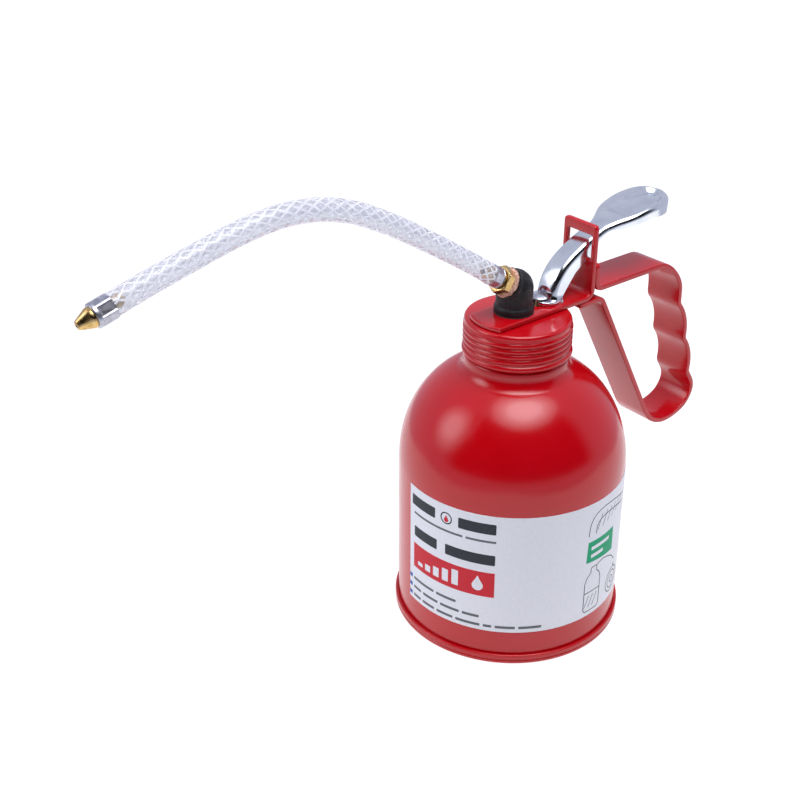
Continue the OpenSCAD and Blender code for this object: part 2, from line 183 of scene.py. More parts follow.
def left_of(line):
    """Unit vectors to the left of a flat path, one for each of its points."""
    along = np.gradient(np.array(line, float), axis=0)
    along /= np.linalg.norm(along, axis=1)[:, None]
    return np.stack([-along[:, 1], along[:, 0]], 1)


def rounded(corners, steps=4):
    """Closed outline whose corners, given as (x, y, radius), are rounded."""
    out = []
    count = len(corners)
    for i, (x, y, r) in enumerate(corners):
        here = np.array([x, y], float)
        a = np.array(corners[i - 1][:2], float) - here
        b = np.array(corners[(i + 1) % count][:2], float) - here
        la, lb = np.linalg.norm(a), np.linalg.norm(b)
        a, b = a / la, b / lb
        half = math.acos(max(-1, min(1, float(a @ b)))) / 2
        if r <= 0 or half > math.radians(88):
            out.append((x, y))
            continue
        reach = min(r / math.tan(half), la * 0.49, lb * 0.49)
        for k in range(steps + 1):
            t = k / steps
            out.append(tuple(here + a * reach * (1 - t) ** 2 + b * reach * t ** 2))
    return out


def bar(x0, y0, x1, y1, r=0.0, steps=3):
    """Outline of a rectangle between opposite corners, with rounded corners."""
    return rounded([(x0, y0, r), (x1, y0, r), (x1, y1, r), (x0, y1, r)], steps)


def smoothstep(x, low, high):
    t = np.clip((x - low) / (high - low), 0, 1)
    return t * t * (3 - 2 * t)


# ---- Meshes ----

def link(made):
    bpy.context.scene.collection.objects.link(made)
    return made


def raw_mesh(name, points, faces):
    """Mesh from points in millimetres."""
    mesh = bpy.data.meshes.new(name)
    mesh.from_pydata([tuple(c * MM for c in p) for p in points], [], faces)
    return mesh


@contextlib.contextmanager
def editing(mesh):
    """The mesh opened for editing; it is written back at the end."""
    work = bmesh.new()
    work.from_mesh(mesh)
    yield work
    work.to_mesh(mesh)
    work.free()


def clean(work, merge, collapse=0):
    """Merges points that are that close, drops slivers and turns every face outwards."""
    bmesh.ops.remove_doubles(work, verts=work.verts, dist=merge)
    if collapse:
        bmesh.ops.dissolve_degenerate(work, edges=work.edges, dist=collapse)
    bmesh.ops.recalc_face_normals(work, faces=work.faces)


def new_piece(name, points, faces, material, body, slot, replaces=(), crease=35, merge=0.002):
    """Makes a mesh piece from millimetre points, with sharp edges above the crease angle."""
    mesh = raw_mesh(name, points, faces)
    with editing(mesh) as work:
        clean(work, merge * MM, 1e-8)
        mark_creases(work, crease)
    return finish_piece(bpy.data.objects.new(name, mesh), material, body, replaces)


def mark_creases(work, crease):
    for face in work.faces:
        face.smooth = True
    for edge in work.edges:
        edge.smooth = len(edge.link_faces) != 2 or edge.calc_face_angle(0) < math.radians(crease)


def finish_piece(piece, material, body, replaces=()):
    """Puts a piece in the scene, on its body, in place of its CAD nodes."""
    if piece.name not in bpy.context.scene.collection.objects:
        link(piece)
    piece.data.materials.clear()
    piece.data.materials.append(material)
    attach(piece, body)
    if replaces:
        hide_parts(*replaces)
    return piece


def weigh_normals(piece):
    """Large flat faces keep flat shading beside their rounded edges."""
    flat = piece.modifiers.new("flat_faces", "WEIGHTED_NORMAL")
    flat.keep_sharp = True
    flat.weight = 100


def skin(rings, loop=False):
    """Points and faces over closed rings, capped at the ends unless the last ring meets the first."""
    n, count = len(rings[0]), len(rings)
    points = [tuple(p) for ring in rings for p in ring]
    faces = []
    for i in range(count if loop else count - 1):
        a, b = i * n, (i + 1) % count * n
        faces += [(a + k, a + (k + 1) % n, b + (k + 1) % n, b + k) for k in range(n)]
    if not loop:
        faces += [tuple(range(n - 1, -1, -1)), tuple(range((count - 1) * n, count * n))]
    return points, faces


def turned(outline, place, around=128, radius=None):
    """Skin of an outline of (radius, height) turned round a place's axis; radius() may shape it."""
    rings = []
    for r, z in outline:
        ring = []
        for k in range(around):
            turn = 2 * math.pi * k / around
            shaped = radius(r, z, turn) if radius else r
            ring.append(place((shaped * math.cos(turn), shaped * math.sin(turn), z)))
        rings.append(ring)
    return skin(rings, loop=True)


def strip(path, half_width, thickness, edge, end_radius):
    """Skin of a bent flat bar with rounded edges; path is its outer face, and it is thick on the left."""
    distances = np.concatenate([[0], np.cumsum(np.linalg.norm(np.diff(path, axis=0), axis=1))])
    rings = []
    for point, side, distance in zip(path, left_of(path), distances):
        near = min(distance, distances[-1] - distance)
        lost = end_radius - math.sqrt(max(0, end_radius ** 2 - max(0, end_radius - near) ** 2))
        thin = edge - math.sqrt(max(0, edge ** 2 - max(0, edge - near) ** 2))
        half, low, high = half_width - lost - thin, thin, thickness - thin
        outline = bar(-half, low, half, high, edge, 4)
        rings.append([(point[0] + side[0] * t, y, point[1] + side[1] * t) for y, t in outline])
    return skin(rings)


def end_steps(length, edge, radius, step):
    """Distances along a strip, close together where its ends are rounded."""
    near = [edge * (1 - math.cos(math.pi / 2 * k / 4)) for k in range(5)]
    near += [radius * k / 6 for k in range(1, 8)]
    near = sorted(set(round(d, 4) for d in near))
    middle = np.linspace(near[-1], length - near[-1], max(2, round(length / step)))
    return np.array(near[:-1] + list(middle) + [length - d for d in near[:-1]][::-1])


def plate(outlines, low, high, edge, cuts, bend):
    """Flat sheet of those outlines with rounded edges, cut across at each of the cuts and bent."""
    shape = bpy.data.curves.new("flat_pattern", "CURVE")
    shape.dimensions = "2D"
    shape.fill_mode = "BOTH"
    for outline in outlines:
        line = shape.splines.new("POLY")
        line.points.add(len(outline) - 1)
        for point, (x, y) in zip(line.points, outline):
            point.co = (x, y, 0, 1)
        line.use_cyclic_u = True
    shape.extrude = (high - low) / 2 - edge
    shape.bevel_depth = edge
    shape.bevel_resolution = 2
    shape.offset = -edge
    holder = link(bpy.data.objects.new("flat_pattern", shape))
    bpy.context.view_layer.update()
    mesh = bpy.data.meshes.new_from_object(holder.evaluated_get(bpy.context.evaluated_depsgraph_get()))
    work = bmesh.new()
    work.from_mesh(mesh)
    bpy.data.objects.remove(holder)
    bpy.data.curves.remove(shape)
    bpy.data.meshes.remove(mesh)
    bmesh.ops.remove_doubles(work, verts=work.verts, dist=1e-4)
    for cut in cuts:
        geometry = work.verts[:] + work.edges[:] + work.faces[:]
        bmesh.ops.bisect_plane(work, geom=geometry, plane_co=(cut, 0, 0), plane_no=(1, 0, 0))
    work.verts.ensure_lookup_table()
    points = [bend(v.co.x, v.co.y, v.co.z + (low + high) / 2) for v in work.verts]
    faces = [tuple(v.index for v in face.verts) for face in work.faces]
    work.free()
    return points, faces


def combine(piece, operation, other):
    """Joins a shape to a piece or takes it out, once the piece is baked."""
    tool = piece.modifiers.new("combine", "BOOLEAN")
    tool.operation = operation
    tool.solver = "MANIFOLD"
    tool.object = other


def cut_away(piece, *cutters):
    """Takes the cutters' shapes out of a piece, for good."""
    for cutter in cutters:
        combine(piece, "DIFFERENCE", cutter)
    bake(piece)
    for cutter in cutters:
        bpy.data.objects.remove(cutter)


def bake(piece):
    """Applies a piece's modifiers to its mesh."""
    bpy.context.view_layer.update()
    mesh = bpy.data.meshes.new_from_object(piece.evaluated_get(bpy.context.evaluated_depsgraph_get()))
    piece.modifiers.clear()
    piece.data = mesh


def loose_mesh(name, points, faces):
    """A mesh object used only as a tool while the script runs."""
    mesh = raw_mesh(name, points, faces)
    with editing(mesh) as work:
        clean(work, 0.002 * MM)
    return link(bpy.data.objects.new(name, mesh))


def solid_rod(name, r, low, high, place, around=64):
    return loose_mesh(name, *turned([(0, low), (r, low), (r, high), (0, high)], place, around))


# ---- Materials ----

def add_node(tree, kind, inputs=(), **settings):
    """Adds a node; each of its inputs is set to a number or colour, or joined to an output."""
    node = tree.nodes.new("ShaderNode" + kind)
    for key, value in settings.items():
        setattr(node, key, value)
    for key, value in dict(inputs).items():
        if isinstance(value, bpy.types.NodeSocket):
            tree.links.new(value, node.inputs[key])
        else:
            node.inputs[key].default_value = value
    return node


class Shader:
    """A material's node tree, with short calls for the nodes used here; sizes are in millimetres."""

    def __init__(self, name, color, roughness, metallic=0.0, **sockets):
        self.material = bpy.data.materials.new(name)
        self.material.use_nodes = True
        self.material.diffuse_color = (*color, 1)
        self.tree = self.material.node_tree
        self.surface = self.tree.nodes["Principled BSDF"]
        self.set("Base Color", (*color, 1))
        self.set("Roughness", roughness)
        self.set("Metallic", metallic)
        for key, value in sockets.items():
            self.set(key.replace("_", " "), value)
        self.place = add_node(self.tree, "TexCoord").outputs["Object"]
        self.height = None

    def set(self, socket, value):
        self.surface.inputs[socket].default_value = value

    def join(self, out, socket):
        self.tree.links.new(out, self.surface.inputs[socket])

    def noise(self, size, detail, rough=0.5):
        inputs = {"Vector": self.place, "Scale": 1 / (size * MM), "Detail": detail, "Roughness": rough}
        return add_node(self.tree, "TexNoise", inputs).outputs["Fac"]

    def cells(self, size):
        inputs = {"Vector": self.place, "Scale": 1 / (size * MM)}
        return add_node(self.tree, "TexVoronoi", inputs).outputs["Distance"]

    def ramp(self, value, stops):
        """Colour ramp over (position, colour) stops."""
        node = add_node(self.tree, "ValToRGB", {"Fac": value})
        elements = node.color_ramp.elements
        while len(elements) < len(stops):
            elements.new(0.5)
        for element, (position, color) in zip(elements, stops):
            element.position = position
            element.color = (*color, 1)
        return node.outputs["Color"]

    def span(self, value, low, high, out_low, out_high):
        inputs = {"Value": value, "From Min": low, "From Max": high, "To Min": out_low, "To Max": out_high}
        return add_node(self.tree, "MapRange", inputs).outputs["Result"]

    def tint(self, size, detail, *stops):
        """Colour that wanders between the stops."""
        self.join(self.ramp(self.noise(size, detail), stops), "Base Color")

    def wear(self, size, detail, low, high):
        """Roughness that wanders from low to high."""
        self.join(self.span(self.noise(size, detail), 0.3, 0.7, low, high), "Roughness")

    def relief(self, size, detail, depth, strength):
        """Bumps of that size and depth; calls stack."""
        self.bump(self.noise(size, detail), depth, strength)

    def bump(self, value, depth, strength):
        inputs = {"Height": value, "Distance": depth * MM, "Strength": strength}
        if self.height is not None:
            inputs["Normal"] = self.height
        self.height = add_node(self.tree, "Bump", inputs).outputs["Normal"]
        self.join(self.height, "Normal")


def enamel_material():
    """Glossy red enamel with a fine orange peel and slightly uneven depth of colour."""
    m = Shader("red_enamel", (0.56, 0.001, 0.006), 0.24, Coat_Weight=0.12, Coat_Roughness=0.08, IOR=1.5)
    m.tint(22, 2, (0.2, (0.49, 0.0006, 0.004)), (0.8, (0.55, 0.0015, 0.008)))
    m.wear(9, 2, 0.16, 0.21)
    m.relief(1.6, 1, 0.006, 0.6)
    m.relief(16, 1, 0.03, 0.5)
    return m.material


def label_material():
    """Semi-gloss paper film, faintly blue, with paper tooth."""
    m = Shader("label_film", (0.72, 0.73, 0.82), 0.38, Coat_Weight=0.05, Coat_Roughness=0.25)
    m.tint(1.2, 4, (0.3, (0.78, 0.8, 0.87)), (0.7, (0.82, 0.84, 0.91)))
    m.wear(5, 3, 0.34, 0.44)
    m.relief(0.5, 3, 0.008, 0.5)
    return m.material


def ink_material(name, color):
    """Flat printing ink with a slightly mottled lay-down."""
    m = Shader(name, color, 0.5, Specular_IOR_Level=0.2)
    light = tuple(min(1, c * 1.12 + 0.006) for c in color)
    m.tint(0.6, 3, (0.35, color), (0.7, light))
    m.wear(3, 2, 0.45, 0.55)
    return m.material


def chrome_material():
    """Bright plating with faint polishing waves."""
    m = Shader("chrome", (0.78, 0.8, 0.86), 0.14, 1.0)
    m.tint(7, 3, (0.3, (0.68, 0.73, 0.79)), (0.7, (0.84, 0.88, 0.92)))
    m.wear(4, 4, 0.1, 0.22)
    m.relief(3.5, 2, 0.03, 0.6)
    m.relief(0.5, 3, 0.004, 0.5)
    return m.material


def plated_material():
    """Dull nickel plating on pressed ferrules and fasteners."""
    m = Shader("plated_steel", (0.5, 0.52, 0.58), 0.32, 1.0)
    m.tint(1.6, 4, (0.3, (0.4, 0.41, 0.47)), (0.7, (0.6, 0.62, 0.69)))
    m.wear(1.1, 4, 0.24, 0.44)
    m.relief(0.4, 3, 0.01, 0.6)
    return m.material


def brass_material():
    """Turned brass with fine tool marks and a little tarnish."""
    m = Shader("brass", (0.66, 0.46, 0.19), 0.26, 1.0)
    m.tint(1.5, 4, (0.3, (0.5, 0.31, 0.11)), (0.5, (0.66, 0.45, 0.18)), (0.75, (0.8, 0.61, 0.29)))
    m.wear(0.9, 4, 0.16, 0.36)
    m.relief(0.35, 3, 0.008, 0.6)
    return m.material


def casting_material():
    """Black painted casting, pitted, with paint chipped down to pale metal in specks."""
    m = Shader("black_fitting", (0.01, 0.01, 0.012), 0.42, Specular_IOR_Level=0.35)
    base = m.ramp(m.noise(2.5, 4), [(0.35, (0.006, 0.006, 0.007)), (0.7, (0.016, 0.016, 0.018))])
    chips = m.span(m.noise(0.55, 5, rough=0.7), 0.66, 0.7, 0, 1)
    inputs = {"Factor": chips, 6: base, 7: (0.32, 0.29, 0.26, 1)}
    m.join(add_node(m.tree, "Mix", inputs, data_type="RGBA").outputs[2], "Base Color")
    m.wear(0.8, 4, 0.32, 0.6)
    m.relief(0.55, 4, 0.09, 0.8)
    m.bump(m.cells(0.9), 0.05, 0.4)
    return m.material


def sealant_material():
    """Crumbly thread sealant, copper pink with pale ridges."""
    m = Shader("sealant", (0.6, 0.32, 0.22), 0.7)
    m.tint(
        0.7, 5, (0.3, (0.3, 0.13, 0.08)), (0.48, (0.62, 0.34, 0.24)),
        (0.68, (0.8, 0.58, 0.46)), (0.8, (0.85, 0.75, 0.62)),
    )
    m.wear(0.9, 3, 0.55, 0.8)
    m.relief(0.5, 5, 0.2, 0.9)
    return m.material


def clear_material(name, color, roughness, ior):
    """Clear plastic with slight flow lines."""
    m = Shader(name, color, roughness, IOR=ior, Transmission_Weight=0.82)
    m.wear(3, 3, roughness * 0.7, roughness * 1.4)
    m.relief(2.4, 2, 0.02, 0.5)
    return m.material


def yarn_material():
    """White polyester braid, with its filaments showing and a faint painted glow that stands in for light
    reaching it through the clear tube.
    """
    m = Shader("braid_yarn_painted_glow", (0.93, 0.94, 0.97), 0.4, Sheen_Weight=0.3)
    # Painted light: the yarn glows faintly so it looks lit through the clear tube, though it is no lamp
    m.set("Emission Color", (0.93, 0.94, 1, 1))
    m.set("Emission Strength", 0.25)
    m.tint(0.25, 4, (0.3, (0.82, 0.83, 0.9)), (0.7, (0.95, 0.96, 1.0)))
    m.wear(0.4, 3, 0.4, 0.6)
    m.relief(0.12, 3, 0.02, 0.6)
    return m.material


def rubber_material():
    m = Shader("rubber", (0.03, 0.03, 0.032), 0.7)
    m.tint(1.5, 4, (0.3, (0.022, 0.022, 0.024)), (0.7, (0.045, 0.045, 0.048)))
    m.wear(0.8, 4, 0.6, 0.8)
    m.relief(0.3, 4, 0.03, 0.6)
    return m.material


def steel_material():
    m = Shader("steel", (0.55, 0.56, 0.58), 0.3, 1.0)
    m.tint(1.5, 4, (0.3, (0.48, 0.49, 0.51)), (0.7, (0.64, 0.65, 0.67)))
    m.wear(0.9, 4, 0.22, 0.4)
    m.relief(0.3, 3, 0.006, 0.6)
    return m.material


ENAMEL = enamel_material()
LABEL = label_material()
CHROME = chrome_material()
PLATED = plated_material()
BRASS = brass_material()
CASTING = casting_material()
SEALANT = sealant_material()
CLEAR_HOSE = clear_material("clear_hose", (0.94, 0.95, 0.985), 0.06, 1.38)
CLEAR_TUBE = clear_material("clear_tube", (0.95, 0.93, 0.84), 0.1, 1.45)
YARN = yarn_material()
RUBBER = rubber_material()
STEEL = steel_material()


# ---- Camera ----

CAMERA_AT = (0.29463, 0.30186, 0.31619)
CAMERA_BACK = (0.5477, 0.6866, 0.4780)
CAMERA_ACROSS = (-0.7817, 0.6236, 0)
CAMERA_LENS = 58.36
CAMERA_AZIMUTH = 45.7


def add_camera():
    back = Vector(CAMERA_BACK).normalized()
    across = Vector(CAMERA_ACROSS).normalized()
    turn = Matrix((across, back.cross(across), back)).transposed()
    camera = link(bpy.data.objects.new("camera", bpy.data.cameras.new("camera")))
    camera.data.sensor_width = 36
    camera.data.lens = CAMERA_LENS
    camera.data.clip_start = 0.01
    camera.matrix_world = Matrix.Translation(CAMERA_AT) @ turn.to_4x4()
    bpy.context.scene.camera = camera


add_camera()


# ---- Hose, braid and the fittings on it ----

# Route of the hose as (x, z), in the plane y = 0
HOSE_ROUTE = [
    (HOSE_START[0], HOSE_START[2]),
    (22.5, 147.5), (33.5, 154.8), (44, 161.6), (54, 167.8), (63.5, 173.2),
    (72.5, 177.5), (81.5, 180.4), (90, 181.9), (98.5, 182.2), (107, 181.4),
    (115.5, 179.9), (123.5, 178), (131.5, 176), (139, 174.1), (147, 171.9),
    (HOSE_END[0], HOSE_END[2]),
]
hose_line, hose_at = resampled(curve_through(HOSE_ROUTE, 12), 0.5)
hose_line = smoothed(hose_line, 12)
hose_length = float(hose_at[-1])
BRAID_STRANDS = 7
BRAID_LEAD = 33.0
BRAID_R = 3.2
YARN_HALF = (0.34, 0.13)


@functools.cache
def hose_frame(distance):
    """Centre of the hose at a distance from its start, and the unit vector to its upper side."""
    behind, centre, ahead = (
        np.array([np.interp(at, hose_at, hose_line[:, i]) for i in (0, 1)])
        for at in (distance - 1, distance, distance + 1)
    )
    along = (ahead - behind) / np.linalg.norm(ahead - behind)
    return centre, np.array([-along[1], along[0]])


def on_hose(distance, turn, r):
    """Point on the hose at a distance, at an angle round it and a radius."""
    centre, over = hose_frame(distance)
    x, z = centre + over * r * math.cos(turn)
    return (x, r * math.sin(turn), z)


def braid_relief(distance, turn):
    """1 over a crossing of two yarns, 0 in the middle of a diamond."""
    phase = 2 * math.pi * distance / BRAID_LEAD
    a = math.cos(BRAID_STRANDS * (turn - phase))
    b = math.cos(BRAID_STRANDS * (turn + phase))
    return (max(a, 0) ** 3 + max(b, 0) ** 3) / 2


def add_hose():
    """Clear tube whose outside rises a little over the braid's crossings; returns it and its centreline."""
    distances = [*np.arange(0, hose_length, 0.65), hose_length]
    turns = [2 * math.pi * k / 72 for k in range(72)]
    outer = [[on_hose(d, t, HOSE_R - 0.09 + 0.09 * braid_relief(d, t)) for t in turns] for d in distances]
    inner = [[on_hose(d, t, HOSE_BORE_R) for t in turns] for d in distances]
    tube_skin = skin(outer + inner[::-1], loop=True)
    tube = new_piece("hose_tube", *tube_skin, CLEAR_HOSE, "head", "clear_hose", ["hose"], crease=60)
    return tube, [(x * MM, 0, z * MM) for x, z in [*hose_line[::4], hose_line[-1]]]


def yarn_rings(strand, hand):
    """One yarn of the braid, a flat ribbon that weaves over and under those of the other hand."""
    rings = []
    for d in np.arange(0.15, hose_length - 0.1, 0.6):
        turn = 2 * math.pi * (strand / BRAID_STRANDS + hand * d / BRAID_LEAD)
        weave = math.cos(2 * math.pi * d / BRAID_LEAD * BRAID_STRANDS + math.pi * strand)
        r = BRAID_R + hand * 0.12 * weave
        centre = np.array(on_hose(d, turn, r))
        ahead = np.array(on_hose(d + 0.2, turn + hand * 2 * math.pi * 0.2 / BRAID_LEAD, r))
        along = (ahead - centre) / np.linalg.norm(ahead - centre)
        out = np.array(on_hose(d, turn, r + 1)) - centre
        side = np.cross(along, out)
        side /= np.linalg.norm(side)
        rings.append([
            tuple(centre + side * YARN_HALF[0] * math.cos(a) + out * YARN_HALF[1] * math.sin(a))
            for a in (2 * math.pi * k / 8 for k in range(8))
        ])
    return rings


def add_braid():
    points, faces = [], []
    for hand in (1, -1):
        for strand in range(BRAID_STRANDS):
            more, its_faces = skin(yarn_rings(strand, hand))
            faces += [tuple(i + len(points) for i in face) for face in its_faces]
            points += more
    return new_piece("hose_braid", points, faces, YARN, "head", "clear_hose", crease=50, merge=0.0001)


def crimped(flats, top, flat_r, window, ridge):
    """Radius of a crimped sleeve: flats pressed in over the window, with ridges between them."""
    def radius(r, z, turn):
        if r < BARB_R + 0.4:
            return r
        step = 2 * math.pi / flats
        off = abs((turn / step + 0.5) % 1 - 0.5) * step
        flat = min(flat_r / math.cos(off), top)
        inside = smoothstep(z, window[0], window[0] + 0.3) * (1 - smoothstep(z, window[1] - 0.3, window[1]))
        inside *= 1 - smoothstep(off, step / 2 - ridge, step / 2 - ridge * 0.4)
        return r + (min(r, flat) - r) * inside
    return radius


def sleeve_outline(r, low, high):
    """Outline of a sleeve with rounded ends and enough rings for its crimps."""
    outer = [(r - 0.3, low), (r - 0.09, low + 0.09), (r, low + 0.3)]
    outer += [(r, low + 0.3 + (high - low - 0.6) * k / 24) for k in range(1, 24)]
    outer += [(r, high - 0.3), (r - 0.09, high - 0.09), (r - 0.3, high)]
    return [(BARB_R, low)] + outer + [(BARB_R, high)]


def add_hose_fittings():
    """Both crimped sleeves and the nozzle; returns those that sit on the hose's far end."""
    shape = crimped(8, FERRULE_R, FERRULE_R - 0.32, (FERRULE_AT + 0.2, HOSE_AT - 0.15), 0.03)
    sleeve = turned(sleeve_outline(FERRULE_R, FERRULE_AT, HOSE_AT), on_outlet, 160, shape)
    new_piece("rear_crimp", *sleeve, PLATED, "head", "plated_steel", ["rear_ferrule"], crease=28)
    shape = crimped(6, FERRULE_R, FERRULE_R - 0.55, (-1.0, FRONT_LEN - 1.2), 0.15)
    sleeve = turned(sleeve_outline(FERRULE_R, 0, FRONT_LEN), on_nozzle, 180, shape)
    front = new_piece("front_crimp", *sleeve, PLATED, "head", "plated_steel", ["front_ferrule"], crease=28)
    barb = [(0.6, -3.6), (1.7, -3.6), (2.5, -2.2), (2.0, -2.1), (2.0, -1.5), (2.55, -0.2)]
    barb += [(BARB_R - 0.02, 0.2), (BARB_R - 0.02, FRONT_LEN)]
    cone = [(2.95, 0), (3.15, 0.2), (3.15, 0.85), (3.05, 1.1), (1.62, 4.55), (1.4, 4.95)]
    cone += [(1.05, TIP_LEN), (0.6, TIP_LEN)]
    nozzle = turned(barb + [(r, FRONT_LEN + z) for r, z in cone], on_nozzle, 96)
    return front, new_piece("spout_tip", *nozzle, BRASS, "head", "brass", ["nozzle_tip"], crease=24)


hose, hose_path = add_hose()
braid = add_braid()
front_crimp, spout_tip = add_hose_fittings()


# ---- Elbow and its fittings ----

def add_adapter():
    """Brass hose fitting: thread stub, chamfered hexagon, neck and barb."""
    def hexagonal(r, z, turn):
        if not (NUT_AT - 0.01 <= z <= NUT_AT + NUT_LEN + 0.01) or r < 3.3:
            return r
        step = math.pi / 3
        off = abs((turn / step) % 1 - 0.5) * step
        return min(r, NUT_R * math.cos(step / 2) / math.cos(off))
    top = NUT_AT + NUT_LEN
    outline = [(1.5, 1), (3.8, 1), (3.8, NUT_AT), (4.7, NUT_AT), (NUT_R, NUT_AT + 0.3)]
    outline += [(NUT_R, NUT_AT + 0.3 + (NUT_LEN - 0.8) * k / 6) for k in range(1, 7)]
    outline += [(4.9, top - 0.24), (4.5, top - 0.05), (4.3, top), (3.2, top), (3.1, FERRULE_AT - 0.1)]
    outline += [(BARB_R - 0.02, FERRULE_AT - 0.1), (BARB_R - 0.02, HOSE_AT)]
    outline += [(2.55, HOSE_AT + 0.3), (2.0, HOSE_AT + 1.6), (2.5, HOSE_AT + 1.75), (2.5, HOSE_AT + 2.1)]
    outline += [(1.75, HOSE_AT + 3.9), (1.5, HOSE_AT + 3.9)]
    fitting = turned(outline, on_outlet, 144, hexagonal)
    new_piece("brass_adapter", *fitting, BRASS, "head", "brass", ["hose_fitting"], crease=22)


def add_sealant():
    """Lumpy ring of sealant squeezed out between the elbow and the hexagon."""
    def lumpy(r, z, turn):
        if r < 4.2:
            return r
        spot = Vector((math.cos(turn) * 2.2, math.sin(turn) * 2.2, z * 1.3))
        thread = 0.12 * math.cos(2 * math.pi * (z / 0.8 - turn / (2 * math.pi)))
        return min(5.6, r + thread + 0.4 * noise.noise(spot) + 0.18 * noise.noise(spot * 3.1))
    low, high = SEALANT_AT - 0.35, NUT_AT
    outline = [(3.8, low), (4.9, low)]
    outline += [(5.25 - 0.25 * abs(k / 7 - 1), low + (high - low) * k / 14) for k in range(1, 14)]
    outline += [(4.8, high), (3.8, high)]
    lump = turned(outline, on_outlet, 120, lumpy)
    new_piece("thread_sealant", *lump, SEALANT, "head", "sealant", ["sealant_ring"], crease=80)


def add_elbow():
    """Cast elbow: its body and outlet are melted together, then the bores are cut."""
    z0 = PLATE_Z + WASHER_H
    collar = PLATE_Z + COLLAR_H
    outline = [(0, z0), (COLLAR_R - 0.2, z0), (COLLAR_R, z0 + 0.2), (COLLAR_R, collar - 0.35)]
    outline += [(COLLAR_R - 0.3, collar), (ELBOW_R + 0.02, collar + 0.12)]
    outline += arc(0, ELBOW_Z, ELBOW_R, 0, 90, 20)
    elbow = loose_mesh("elbow_casting", *turned(outline, upright(OUTLET_X), 96))
    boss = solid_rod("boss", 5.95, 0, SEALANT_AT, on_outlet, 96)
    combine(elbow, "UNION", boss)
    melted = elbow.modifiers.new("melt", "REMESH")
    melted.mode = "VOXEL"
    melted.voxel_size = 0.26 * MM
    soft = elbow.modifiers.new("soft", "SMOOTH")
    soft.factor = 0.5
    soft.iterations = 5
    bake(elbow)
    bpy.data.objects.remove(boss)
    for v in elbow.data.vertices:
        spot = v.co / MM
        rough = noise.noise(spot * 0.9) * 0.06 + noise.noise(spot * 2.3) * 0.03
        above = float(smoothstep(spot.z, collar + 0.3, collar + 1.2))
        v.co += v.normal * rough * above * MM
    cut_away(
        elbow,
        solid_rod("bore", 3.65, z0 - 1, 129.2, upright(OUTLET_X)),
        solid_rod("passage", 2.3, z0 - 1, ELBOW_Z + 0.6, upright(OUTLET_X), 48),
        solid_rod("outlet_bore", 3.82, 1, SEALANT_AT + 2, on_outlet),
    )
    with editing(elbow.data) as work:
        mark_creases(work, 50)
    finish_piece(elbow, CASTING, "head", ["elbow"])


add_adapter()
add_sealant()
add_elbow()


# ---- Can ----

def dome(angle):
    """Point of the shoulder's squared-off quarter ellipse, at an angle in degrees."""
    a = math.radians(angle)
    return (
        DOME_IN_R + (CAN_R - DOME_IN_R) * math.cos(a) ** (2 / 1.7),
        SHOULDER_Z + (DOME_Z - SHOULDER_Z) * math.sin(a) ** (2 / 2.1),
    )


def add_can():
    """Drawn can with its shoulder, neck and rolled mouth, as one sheet of even thickness."""
    end = np.array(dome(75))
    hook = np.array([NECK_BASE_R, DOME_Z + 0.5])
    top = np.array([NECK_BASE_R, DOME_Z + 3.1])
    outer = [(CAN_R, CAN_T), (CAN_R, 6), (CAN_R, 30), (CAN_R, SHOULDER_Z - 4)]
    outer += [dome(75 * k / 60) for k in range(61)]
    fillet = (k / 12 for k in range(1, 13))
    outer += [tuple((1 - t) ** 2 * end + 2 * t * (1 - t) * hook + t * t * top) for t in fillet]
    outer += [(NECK_BASE_R, CAP_FOOT_Z - 0.9), (NECK_BASE_R - 0.15, CAP_FOOT_Z - 0.55)]
    outer += [(NECK_BASE_R - 0.5, CAP_FOOT_Z - 0.3), (NECK_R + 0.2, CAP_FOOT_Z - 0.05)]
    outer += [(NECK_R, CAP_FOOT_Z + 0.2 + 0.2 * k) for k in range(56)]
    line = np.array(outer)
    inner = line + CAN_T * left_of(line)

    def threaded(r, z, turn):
        """Rolled thread on the neck."""
        if z < CAP_FOOT_Z + 1.2 or r < NECK_R - 0.1:
            return r
        phase = z / RIB_PITCH - turn / (2 * math.pi)
        return r + 0.38 * max(0, math.cos(2 * math.pi * phase)) ** 2

    sheet = turned([*line, (NECK_R - 0.4, MOUTH_Z), *inner[::-1]], upright(), 240, threaded)
    new_piece("can_body", *sheet, ENAMEL, "can", "red_enamel", ["can_shell"], crease=40)


def add_base():
    """Base disc folded up over the wall in a double seam."""
    outline = rounded([
        (0, BASE_Z, 0), (CAN_R - 1.6, BASE_Z, 0.6), (CAN_R - 1.6, 0, 0.5), (SEAM_R - 0.1, 0, 0.9),
        (SEAM_R, 1.35, 0.3), (SEAM_R - 0.28, 1.6, 0.2), (SEAM_R, 1.85, 0.3), (SEAM_R, SEAM_H, 0.9),
        (CAN_R + 0.05, SEAM_H, 0.25), (CAN_R + 0.05, CAN_T, 0), (CAN_R - CAN_T, CAN_T, 0),
        (CAN_R - CAN_T, BASE_Z + CAN_T, 0.4), (0, BASE_Z + CAN_T, 0),
    ], 5)
    disc = turned(outline, upright(), 240)
    new_piece("base_seam", *disc, ENAMEL, "can", "red_enamel", ["base_disc"], crease=40)


def on_wall(u, z, r):
    """Point of the can's wall at a distance u round it from the label's left edge."""
    turn = math.radians(LABEL_START) + u / CAN_R
    return (r * math.cos(turn), r * math.sin(turn), z)


PRINT_STEP = 1.0


def on_label(name, outlines, material, layer, replaces=()):
    """A thin printed shape, or the film itself, wrapped on the can's wall. Its outlines are in (u, z)."""
    wide = [x for outline in outlines for x, _ in outline]
    cuts = np.arange(min(wide) + PRINT_STEP, max(wide), PRINT_STEP)
    low, high = layer
    pieces = plate(outlines, low, high, 0, cuts, lambda u, z, t: on_wall(u, z, CAN_R + t))
    return new_piece(name, *pieces, material, "can", "label_film", replaces, crease=30, merge=0.0005)


